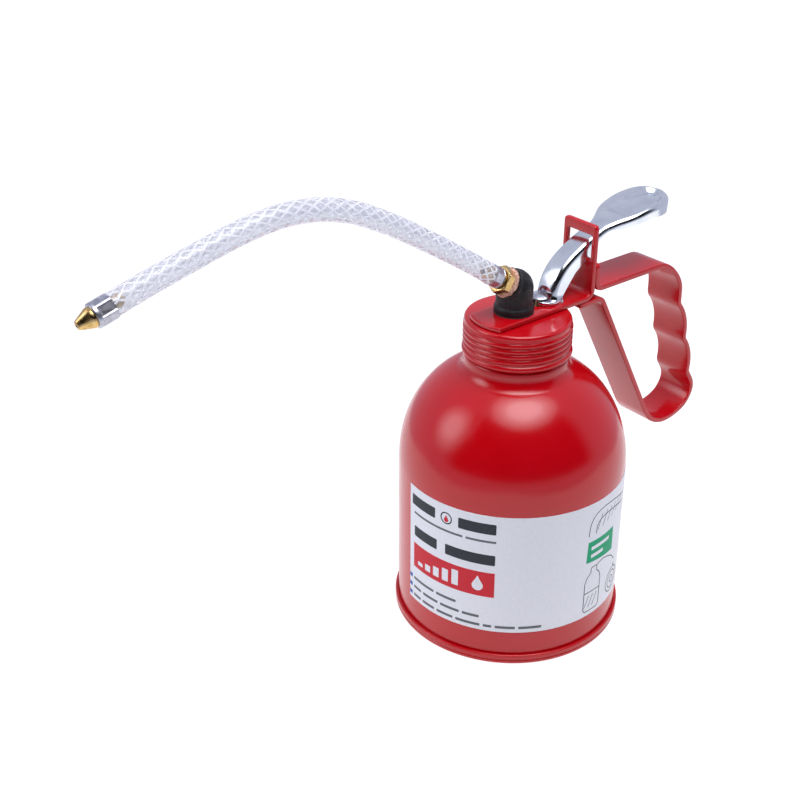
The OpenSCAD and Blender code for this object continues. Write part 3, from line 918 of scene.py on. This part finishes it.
def stroke(points, width):
    """Outline of a line of that width through points."""
    line = np.array(points, float)
    side = width / 2 * left_of(line)
    return [tuple(p) for p in line + side] + [tuple(p) for p in (line - side)[::-1]]


def ring(u, z, r, width, n=28):
    """Outline pair of a thin ring."""
    return [arc(u, z, r, 0, 360 * (n - 1) / n, n - 1), arc(u, z, r - width, 0, 360 * (n - 1) / n, n - 1)]


def drop(u, z, r):
    """Outline of an oil drop with its point up."""
    side, top = r * 0.42, z + r * 1.25
    return arc(u, z, r, 150, 390, 20) + [(u + side, top), (u, z + r * 2.1), (u - side, top)]


FILM = (-0.03, 0.15)
FIRST_INK = (0.1, 0.165)
SECOND_INK = (0.12, 0.18)


def add_label():
    """Film with a generic print: plain blocks, lines and a small outline drawing, with no lettering."""
    length = math.radians(LABEL_SWEEP) * CAN_R
    on_label("label_sheet", [bar(0, LABEL_Z[0], length, LABEL_Z[1])], LABEL, FILM, ["label"])

    dark = ink_material("ink_dark", (0.03, 0.035, 0.045))
    grey = ink_material("ink_grey", (0.13, 0.14, 0.16))
    red = ink_material("ink_red", (0.6, 0.02, 0.035))
    blue = ink_material("ink_blue", (0.004, 0.1, 0.42))
    green = ink_material("ink_green", (0.002, 0.36, 0.17))
    white = ink_material("ink_white", (0.78, 0.79, 0.85))

    # Heading: a drop in a ring between two solid bars
    heading = [bar(1.6, 56.2, 14.6, 60.6, 0.5), bar(24.6, 56.2, 38.8, 60.6, 0.5)]
    heading += [bar(3.2, 43.0, 15.6, 47.4, 0.4), bar(19.4, 43.0, 38.8, 47.4, 0.4)]
    on_label("print_heading", heading, dark, FIRST_INK)
    on_label("print_ring", ring(19.6, 58.4, 2.5, 0.5), dark, FIRST_INK)
    on_label("print_drop", [drop(19.6, 57.7, 0.95)], red, FIRST_INK)
    lines = [bar(3.0, 52.6, 26.4, 53.5, 0.2), bar(27.6, 52.6, 38.9, 53.5, 0.2)]
    rows = ((23.1, (11.4, 8.8)), (19.1, (4.6, 7.6, 8.2, 6.6)), (15.4, (4.4, 6.2, 7.2, 9.6, 3.2, 7.4, 8.6)))
    for z, words in rows:
        u = 3.0
        for word in words:
            lines.append(bar(u, z, u + word, z + 1.15, 0.35))
            u += word + 1.2
    on_label("print_lines", lines, grey, FIRST_INK)
    on_label("print_bullets", [bar(0.1, z, 1.9, z + 1.7) for z in (22.9, 18.9, 15.1)], blue, FIRST_INK)

    # Contents block: a filling gauge and a drop
    on_label("print_block", [bar(2.8, 29.0, 38.9, 39.7)], red, FIRST_INK)
    gauge = [bar(5.6 + 4.2 * k, 31.0, 8.3 + 4.2 * k, 32.6 + 1.25 * k, 0.3) for k in range(5)]
    gauge += [drop(32.6, 33.4, 2.1)]
    on_label("print_gauge", gauge, white, SECOND_INK)

    # Tag and outline drawing on the side
    on_label("print_tag", [[(74.4, 38.4), (91.0, 36.8), (90.6, 47.2), (74.8, 47.4)]], green, FIRST_INK)
    tag_lines = [bar(76.6, 43.4, 87.4, 44.9, 0.4), bar(76.6, 40.0, 83.6, 41.5, 0.4)]
    on_label("print_tag_lines", tag_lines, white, SECOND_INK)
    add_label_drawing(dark)


def add_label_drawing(ink):
    """Plain line drawing: a bottle with a bent spout, a length of hose and a wheel."""
    line, thin = 0.38, 0.28
    bottle = [(74.6, 17), (74.6, 29), (75.6, 31.6), (77.4, 33), (77.4, 35.4), (80.6, 35.4), (80.6, 33)]
    bottle += [(82.2, 31.6), (83.2, 29), (83.2, 17), (82.4, 15.8), (75.4, 15.8), (74.6, 17)]
    curves = [
        [(80.6, 35.4), (84, 36.2), (88, 35.2), (91.4, 33.4), (94.4, 30.2)],
        [(74.8, 50), (75.4, 55), (78, 58.6), (83, 60), (90, 59.4), (97, 57.6), (101, 56.6)],
        [(78.6, 50), (79, 53.4), (81, 55.4), (85, 56.2), (91, 55.6), (97, 54), (101, 53.2)],
    ]
    outlines = [stroke(resampled(bottle, 0.8)[0], line)]
    outlines += [stroke(curve_through(curve, 5), line) for curve in curves]
    hatching = [[(76.2 + 3 * k, 50.6 + 0.6 * k), (78.6 + 3 * k, 57.4 + 0.1 * k)] for k in range(1, 7)]
    outlines += [stroke(points, thin) for points in hatching]
    outlines += [stroke([(74.6, 24.4), (83.2, 24.4)], line)]
    outlines += [stroke([(75 + 2.2 * k, 17.6), (77.2 + 2.2 * k, 22.8)], thin) for k in range(3)]
    for number, outline in enumerate(outlines):
        on_label(f"print_drawing_{number:02d}", [outline], ink, FIRST_INK)
    for number, r in enumerate((5.4, 3.8, 1.6)):
        on_label(f"print_wheel_{number}", ring(93.4, 21.6, r, line, 36), ink, FIRST_INK)
    on_label("print_drawing_drop", [drop(94.6, 27.4, 0.55)], ink, FIRST_INK)


add_can()
add_base()
add_label()


# ---- Cap, bracket and handle ----

def add_cap():
    """Pressed cap with a rolled thread, a flared bead at its foot and holes for the pump."""
    def ribbed(r, z, turn):
        low, high = RIB_Z - 0.9, RIB_Z + 8.4
        if r < CAP_R - 0.3 or not low < z < high:
            return r
        phase = (z - RIB_Z) / RIB_PITCH - turn / (2 * math.pi)
        fade = float(smoothstep(z, low, low + 0.7) * (1 - smoothstep(z, high - 0.9, high)))
        return r - 0.2 + 0.2 * (1 - fade) + 0.6 * abs(math.cos(math.pi * phase)) ** 0.8 * fade

    outline = [(0, CAP_Z - CAP_T), (18.3, CAP_Z - CAP_T), (18.3, CAP_FOOT_Z + 0.1)]
    outline += arc(CAP_R - 0.6, CAP_FOOT_Z + 1.3, 1.3, -100, 62, 14)
    outline += [(CAP_R, RIB_Z - 1.0 + 0.13 * k) for k in range(73)]
    outline += arc(CAP_R - 1.3, CAP_Z - 1.3, 1.3, 0, 90, 10)
    outline += [(12, CAP_Z), (0, CAP_Z)]
    pressing = turned(outline, upright(), 216, ribbed)
    cap = new_piece("pressed_cap", *pressing, ENAMEL, "head", "red_enamel", ["screw_cap"], crease=40)
    cut_away(
        cap,
        solid_rod("pump_hole", PUMP_HOLE_R, CAP_Z - 3, CAP_Z + 1, upright(PUMP_X)),
        solid_rod("outlet_hole", OUTLET_HOLE_R, CAP_Z - 3, CAP_Z + 1, upright(OUTLET_X)),
    )


ARC_START = 17.9
FLAT_LEN = ARC_START - UPRIGHT_X - BEND_R
BEND_LEN = math.pi / 2 * BEND_R


def on_bracket(s, y, t):
    """Point of the bent bracket from its flat pattern; t is the depth below its upper, front face."""
    if s < FLAT_LEN:
        return (ARC_START - s, y, PLATE_Z - t)
    if s < FLAT_LEN + BEND_LEN:
        a = (s - FLAT_LEN) / BEND_R
        r = BEND_R + t
        return (UPRIGHT_X + BEND_R - r * math.sin(a), y, PLATE_Z + BEND_R - r * math.cos(a))
    return (UPRIGHT_X - t, y, PLATE_Z + BEND_R + s - FLAT_LEN - BEND_LEN)


def add_bracket():
    """Bracket: a plate that follows the cap's edge in front, bent up behind with a window for the lever."""
    rise = FLAT_LEN + BEND_LEN - PLATE_Z - BEND_R
    half = STRIP_W / 2
    swing = math.degrees(math.asin(half / ARC_START))
    front = [(ARC_START - x, y) for x, y in arc(0, 0, ARC_START, -swing, swing, 14)]
    top = UPRIGHT_Z + rise
    corners = rounded([(top - 6, half, 0), (top, half, 1.7), (top, -half, 1.7), (top - 6, -half, 0)], 5)
    low, high = WINDOW_Z[0] + rise, WINDOW_Z[1] + rise
    window = bar(low, -WINDOW_HALF, high, WINDOW_HALF, 0.7, 4)
    bores = ((PUMP_X, PUMP_HOLE_R), (OUTLET_X, OUTLET_HOLE_R))
    holes = [arc(ARC_START - x, 0, r, 0, 352.5, 47) for x, r in bores]
    cuts = [FLAT_LEN + BEND_LEN * k / 14 for k in range(15)]
    sheet = plate([front + corners, window] + holes, 0, STRIP_T, 0.6, cuts, on_bracket)
    bracket = new_piece("bracket_plate", *sheet, ENAMEL, "head", "red_enamel", ["bracket"], crease=50)
    weigh_normals(bracket)


def add_handle():
    """One strip from the flange behind the upright, round the finger grips, to the tab under the plate."""
    flange_x = UPRIGHT_X - 2 * STRIP_T
    path = [(flange_x, 136)]
    path += arc(flange_x - 1.5, 128.5, 1.5, 360, 270, 6)
    path += arc(-66, 117, 10, 90, 125, 8)
    path += curve_through([(-73.8, 123.8), (-77.7, 119.6), (-80.2, 114.5), (-80.6, 107)])
    path += bulge((-80.6, 107), (-86, 90.4), 2)
    path += bulge((-86, 90.4), (-90.5, 74.2), 2)
    path += curve_through([
        (-90.5, 74.2), (-94, 68.5), (-94.1, 63.5), (-90.8, 58.5), (-85.2, 55.8),
        (-78.6, 54.8), (-73.4, 55.8), (-68.6, 58.6), (-65.2, 62.8),
    ])
    path += arc(-32.4, 118, 2.8, 153, 90, 6)
    path += [(-28, 120.55), (-23.5, 120.5)]
    fine, at = resampled(path, 0.35)
    fine = smoothed(fine, 6)
    edge, corner = 0.45, 1.6
    steps = end_steps(at[-1], edge, corner, 0.9)
    line = np.stack([np.interp(steps, at, fine[:, i]) for i in (0, 1)], 1)
    bent = strip(line, STRIP_W / 2, STRIP_T, edge, corner)
    new_piece("handle_strip", *bent, ENAMEL, "head", "red_enamel", ["handle"], crease=50)


add_cap()
add_bracket()
add_handle()


# ---- Plunger and lever ----

def add_plunger():
    """Plunger rod with a domed, rolled-edge head."""
    dome_r = (HEAD_R ** 2 + 1) / 2
    outline = [(0, 84), (ROD_R, 84), (ROD_R, HEAD_Z), (HEAD_R - 0.25, HEAD_Z)]
    outline += [(HEAD_R, HEAD_Z + 0.2), (HEAD_R - 0.06, HEAD_Z + 0.42)]
    for k in range(9, -1, -1):
        x = HEAD_R * k / 10
        outline.append((x, HEAD_Z + 1.4 - dome_r + math.sqrt(dome_r ** 2 - x * x)))
    rod = turned(outline, upright(PUMP_X), 72)
    new_piece("plunger_pin", *rod, PLATED, "plunger", "plated_steel", ["plunger_rod"], crease=35)


# The lever seen from the side, as (x, z), and its thumb pad from above, as (x, y)
ARM_TOP = [
    (-12.15, 124.7), (-12.3, 126.6), (-13, 129.7), (-14.6, 133.5), (-17.5, 137.2), (-21.3, 140.2),
    (-26, 142.8), (-30, 144.7), (-35, 146.7), (-38, 147.7), (-44, 149.8), (-50, 151.4),
    (-57, 152.7), (-64, 153.1), (-71, 152.6), (-76.4, 151.4),
]
NECK_X = -38
ARM_HALF = 4.6
SHEET = 1.1
THUMB_FAR = [
    (-38, -4.6), (-42, -6.1), (-47, -8.6), (-53, -9.8), (-60, -10.15), (-67, -10.1), (-72, -9.2),
    (-74.8, -6.4), (-75.8, -3.8),
]
THUMB_NEAR = [
    (-38, 4.6), (-42, 6.1), (-47, 8.7), (-53, 9.8), (-60, 9.7), (-66.7, 7.3), (-70.8, 4.2), (-74, 0.4),
    (-75.8, -2.4),
]
LOWER_EDGE = [
    (-80, 147.2), (-77, 147), (-72, 146.5), (-66, 147.2), (-57, 148.4), (-50, 147.4), (-44, 146.4),
    (-38, 146), (-34.6, 143.6), (-32.2, 141.6), (-31.2, 139), (-30.9, 137.6),
]
NOTCH = 1.35
KEYHOLE_R = 3.45


def lever_stations():
    """Stations along the lever: top point, unit vector out of the sheet, half width and sideways shift."""
    far, near = (np.array(curve_through(edge, 10)) for edge in (THUMB_FAR, THUMB_NEAR))
    top = resampled(curve_through(ARM_TOP, 12), 0.1)[0]
    neck = int(np.argmax(top[:, 0] <= NECK_X))
    stations = []
    for i in range(0, neck, 4):
        flare = 1.2 * math.exp(-((top[i][1] - FOOT_TOP_Z + FOOT_T) / 1.5) ** 2)
        stations.append((*top[i], ARM_HALF + flare, 0.0, i))
    for x in np.unique(np.concatenate([far[:, 0], near[:, 0]]))[::-1]:
        low, high = (np.interp(-x, -edge[:, 0], edge[:, 1]) for edge in (far, near))
        z = float(np.interp(-x, -top[neck - 5:, 0], top[neck - 5:, 1]))
        stations.append((x, z, (high - low) / 2, (high + low) / 2, int(np.argmin(abs(top[:, 0] - x)))))
    normals = left_of(smoothed(top, 30))
    out = []
    for x, z, w, middle, i in stations:
        normal = normals[i]
        if normal[1] < 0 or (normal[1] < 0.2 and normal[0] < 0):
            normal = -normal
        level = float(smoothstep(-x, 34, 44))
        normal = normal * (1 - level) + np.array([0, 1]) * level
        out.append((np.array([x, z]), normal / np.linalg.norm(normal), w, middle))
    return out


def lower_line():
    """Lower edge of the side walls, from the tip, over the notch on the window's sill, to the foot."""
    notch = arc(PIVOT[0], PIVOT[1], NOTCH, 150, 10, 10)
    foot = [(-27.2, 137.0), (-23, 133.8), (-19.8, 129.8), (-16.8, 125.8), (-16.4, 124.4), (-11, 124.2)]
    return np.array(LOWER_EDGE + notch + foot)


def wall_depth(point, inward, line):
    """Distance from the top face to the lower edge, straight into the channel."""
    best = 20.0
    for a, b in zip(line[:-1], line[1:]):
        d = b - a
        det = inward[0] * -d[1] + inward[1] * d[0]
        if abs(det) < 1e-9:
            continue
        q = a - point
        t = (q[0] * -d[1] + q[1] * d[0]) / det
        s = (inward[0] * q[1] - inward[1] * q[0]) / det
        if 0.2 < t < best and -1e-6 <= s <= 1 + 1e-6:
            best = t
    return best if best < 20 else 1.0


def lever_surface():
    """Rows of points of the lever's outer face, from one wall's lower edge over the top to the other's."""
    stations = lever_stations()
    line = lower_line()
    pad = [(p[0], w, middle) for p, _, w, middle in stations if p[0] <= NECK_X + 4]
    edge = [(x, middle + w) for x, w, middle in pad] + [(x, middle - w) for x, w, middle in pad[::-1]]
    edge = resampled(edge, 0.25)[0]
    across = np.sin(np.linspace(-1.35, 1.35, 45)) / math.sin(1.35)
    depths = smoothed([[wall_depth(p, -n, line), 0] for p, n, _, _ in stations], 1)[:, 0]
    rows = []
    for (p, n, w, middle), depth in zip(stations, depths):
        x, z = p
        thumb = float(smoothstep(-x, 40, 47))
        fillet = 1.7 + 0.1 * thumb
        dish = 2.0 * float(smoothstep(-x, 43, 51))
        row = []
        for v in across:
            y = middle + w * v
            near = w - abs(w * v)
            if x <= NECK_X:
                near = min(near, float(np.min(np.hypot(edge[:, 0] - x, edge[:, 1] - y))))
            near = max(near, 0)
            drop = fillet - math.sqrt(max(0, fillet ** 2 - max(0, fillet - near) ** 2))
            drop += dish * float(smoothstep(near, fillet * 0.8, fillet + 2.5)) + 0.3 * (1 - thumb) * v * v
            row.append((x - n[0] * drop, y, z - n[1] * drop))
        start = fillet + 0.3 * (1 - thumb)
        reach = max(depth, start + 0.15) - start
        taper = 0.3 * thumb * min(1, w / 5)
        walls = [(start + reach * k / 10, w - taper * k / 10) for k in range(1, 11)]
        left = [(x - n[0] * d, middle - wide, z - n[1] * d) for d, wide in walls[::-1]]
        right = [(x - n[0] * d, middle + wide, z - n[1] * d) for d, wide in walls]
        rows.append(left + row + right)
    low = left[0]
    rows.append([(low[0], p[1], low[2]) for p in rows[-1]])
    return rows


def foot_outline():
    """The lever's foot seen from above: a flared pad that is open in front, round the plunger's rod."""
    slot = ROD_R + 0.3
    side = [(-7.6, slot + 0.15, 0.5), (-8, 3.5, 0.8), (-9.8, 5.3, 1.2), (-12.6, 6.1, 1.2), (-15.4, 5.8, 1.2)]
    back = [(-17.2, 4.6, 0.6), (-17.2, -4.6, 0.6)]
    other_side = [(x, -y, r) for x, y, r in side[::-1]]
    return rounded(side + back + other_side + [(-7.6, -slot, 0.1)], 4)


def box_skin(low, high):
    """Points and faces of a box between opposite corners."""
    (_, y0, z0), (_, y1, z1) = low, high
    return skin([[(x, y0, z0), (x, y1, z0), (x, y1, z1), (x, y0, z1)] for x in (low[0], high[0])])


def keyhole_outline():
    """Blunt cutter that opens the arm over the plunger's head."""
    angles = [math.pi / 2 * k / 10 for k in range(11)]
    crown = [(KEYHOLE_R * math.cos(a), 127.5 + 2.4 * math.sin(a)) for a in angles]
    return [(0, FOOT_TOP_Z + 0.05), (KEYHOLE_R, FOOT_TOP_Z + 0.05)] + crown


def add_lever():
    """Thumb lever: a channel arm pressed from one sheet with a flared foot and a dished thumb pad."""
    rows = lever_surface()
    n = len(rows[0])
    faces = [
        (i * n + k, i * n + k + 1, (i + 1) * n + k + 1, (i + 1) * n + k)
        for i in range(len(rows) - 1) for k in range(n - 1)
    ]
    lever = loose_mesh("lever_pressing", [p for row in rows for p in row], faces)
    if sum(f.normal.z * f.area for f in lever.data.polygons) < 0:
        lever.data.flip_normals()
    sheet = lever.modifiers.new("sheet", "SOLIDIFY")
    sheet.thickness = SHEET * MM
    sheet.offset = -1
    sheet.use_even_offset = False
    bake(lever)
    with editing(lever.data) as work:
        clean(work, 0.002 * MM, 0.002 * MM)
    foot_bottom = FOOT_TOP_Z - FOOT_T
    flat = plate([foot_outline()], foot_bottom, FOOT_TOP_Z, 0.3, (), lambda x, y, t: (x, y, t))
    foot = loose_mesh("foot", *flat)
    combine(lever, "UNION", foot)
    bake(lever)
    bpy.data.objects.remove(foot)
    slot_r = ROD_R + 0.3
    slot = box_skin((PUMP_X - 4, -slot_r, FOOT_TOP_Z - 3), (PUMP_X + 8, slot_r, FOOT_TOP_Z + 0.4))
    keyhole = turned(keyhole_outline(), lambda p: (PUMP_X - 3.3 + 1.75 * p[0], p[1], p[2]), 64)
    cut_away(
        lever,
        solid_rod("rod_slot", slot_r, FOOT_TOP_Z - 3, FOOT_TOP_Z + 1, upright(PUMP_X - 4), 48),
        loose_mesh("slot", *slot),
        loose_mesh("keyhole", *keyhole),
    )
    cut_away(lever, loose_mesh("under_foot", *box_skin((-30, -12, 118), (0, 12, foot_bottom))))
    with editing(lever.data) as work:
        bmesh.ops.remove_doubles(work, verts=work.verts, dist=0.01 * MM)
        bmesh.ops.dissolve_degenerate(work, edges=work.edges, dist=0.01 * MM)
        mark_creases(work, 38)
    finish_piece(lever, CHROME, "lever", ["thumb_lever"])


add_plunger()
add_lever()


# ---- Finishes of the CAD parts that stay ----

STAYING = {
    "cap_gasket": RUBBER, "gland_packing": RUBBER, "piston_seal": RUBBER, "elbow_washer": RUBBER,
    "pump_body": BRASS, "gland_nut": BRASS, "pump_barrel": BRASS, "foot_valve": BRASS, "strainer": BRASS,
    "outlet_nipple": BRASS, "piston": BRASS,
    "return_spring": STEEL, "valve_cage": STEEL, "stop_pin": STEEL, "piston_nut": STEEL,
    "inlet_ball": STEEL, "outlet_ball": STEEL,
    "suction_tube": CLEAR_TUBE,
}
for name, finish in STAYING.items():
    nodes[name].data.materials.clear()
    nodes[name].data.materials.append(finish)


# ---- Floor and light ----

def add_floor():
    """Plain pale tabletop, a rounded square round the object."""
    outline = bar(-340, -340, 320, 320, 60, 8)
    mesh = raw_mesh("tabletop", *skin([[(x, y, z) for x, y in outline] for z in (-12, -0.02)]))
    m = Shader("tabletop", (0.3, 0.3, 0.31), 0.9)
    m.set("Emission Color", (1, 1, 1, 1))
    m.set("Emission Strength", 0.84)
    m.relief(6, 2, 0.01, 0.2)
    mesh.materials.append(m.material)
    link(bpy.data.objects.new("tabletop", mesh))


def add_softbox(name, azimuth, elevation, distance, size, power, target=(0.01, 0, 0.09)):
    """Large soft light that looks at the object from a direction and fades towards its rim."""
    a, e = math.radians(azimuth), math.radians(elevation)
    away = Vector((math.cos(a) * math.cos(e), math.sin(a) * math.cos(e), math.sin(e)))
    for layer, (spread, share) in enumerate(((1.5, 0.5), (1.1, 0.27), (0.75, 0.23))):
        light = bpy.data.lights.new(f"{name}_{layer}", "AREA")
        light.shape = "ELLIPSE"
        light.size = size[0] * spread
        light.size_y = size[1] * spread
        light.energy = power * share
        light.color = (1.0, 0.97, 1.0)
        lamp = link(bpy.data.objects.new(light.name, light))
        lamp.location = Vector(target) + away * (distance - 0.01 * layer)
        lamp.rotation_mode = "QUATERNION"
        lamp.rotation_quaternion = away.to_track_quat("Z", "Y")
        lamp.visible_camera = False


def add_world():
    """White studio that is dark only on the camera's side, above the floor and below the softbox."""
    world = bpy.data.worlds.new("studio")
    world.use_nodes = True
    tree = world.node_tree
    tree.nodes.clear()

    def calc(operation, *values):
        return add_node(tree, "Math", enumerate(values), operation=operation).outputs[0]

    def step(value, *angles):
        """0 below the sine of one angle, 1 above that of another, in degrees."""
        low, high = (math.sin(math.radians(angle)) for angle in angles)
        inputs = {"Value": value, "From Min": low, "From Max": high}
        return add_node(tree, "MapRange", inputs, interpolation_type="SMOOTHSTEP").outputs["Result"]

    x, y, z = add_node(tree, "SeparateXYZ", {0: add_node(tree, "TexCoord").outputs["Generated"]}).outputs
    a = math.radians(CAMERA_AZIMUTH + 10)
    level = calc("SQRT", calc("ADD", calc("MULTIPLY", x, x), calc("MULTIPLY", y, y)))
    toward = calc("ADD", calc("MULTIPLY", x, math.cos(a)), calc("MULTIPLY", y, math.sin(a)))
    side = step(calc("DIVIDE", toward, calc("MAXIMUM", level, 0.001)), 6, 24)
    height = calc("MULTIPLY", calc("SUBTRACT", 1.0, step(z, 54, 61)), step(z, -4, 0))
    dark = calc("MULTIPLY", side, height)
    inputs = {"Factor": dark, 6: (0.54, 0.555, 0.675, 1), 7: (0.006, 0.006, 0.007, 1)}
    shade = add_node(tree, "Mix", inputs, data_type="RGBA").outputs[2]
    studio = add_node(tree, "Background", {"Color": shade}).outputs[0]
    backdrop = add_node(tree, "Background", {"Color": (1, 1, 1, 1), "Strength": 1.05}).outputs[0]
    seen = add_node(tree, "LightPath").outputs["Is Camera Ray"]
    pick = add_node(tree, "MixShader", {0: seen, 1: studio, 2: backdrop}).outputs[0]
    add_node(tree, "OutputWorld", {"Surface": pick})
    bpy.context.scene.world = world


add_floor()
add_softbox("overhead", CAMERA_AZIMUTH + 40, 75, 0.8, (0.6, 0.5), 5.6)
add_softbox("left", CAMERA_AZIMUTH - 76, 28, 0.9, (0.42, 0.5), 1.9)
add_world()
bpy.context.scene.view_settings.view_transform = "Standard"
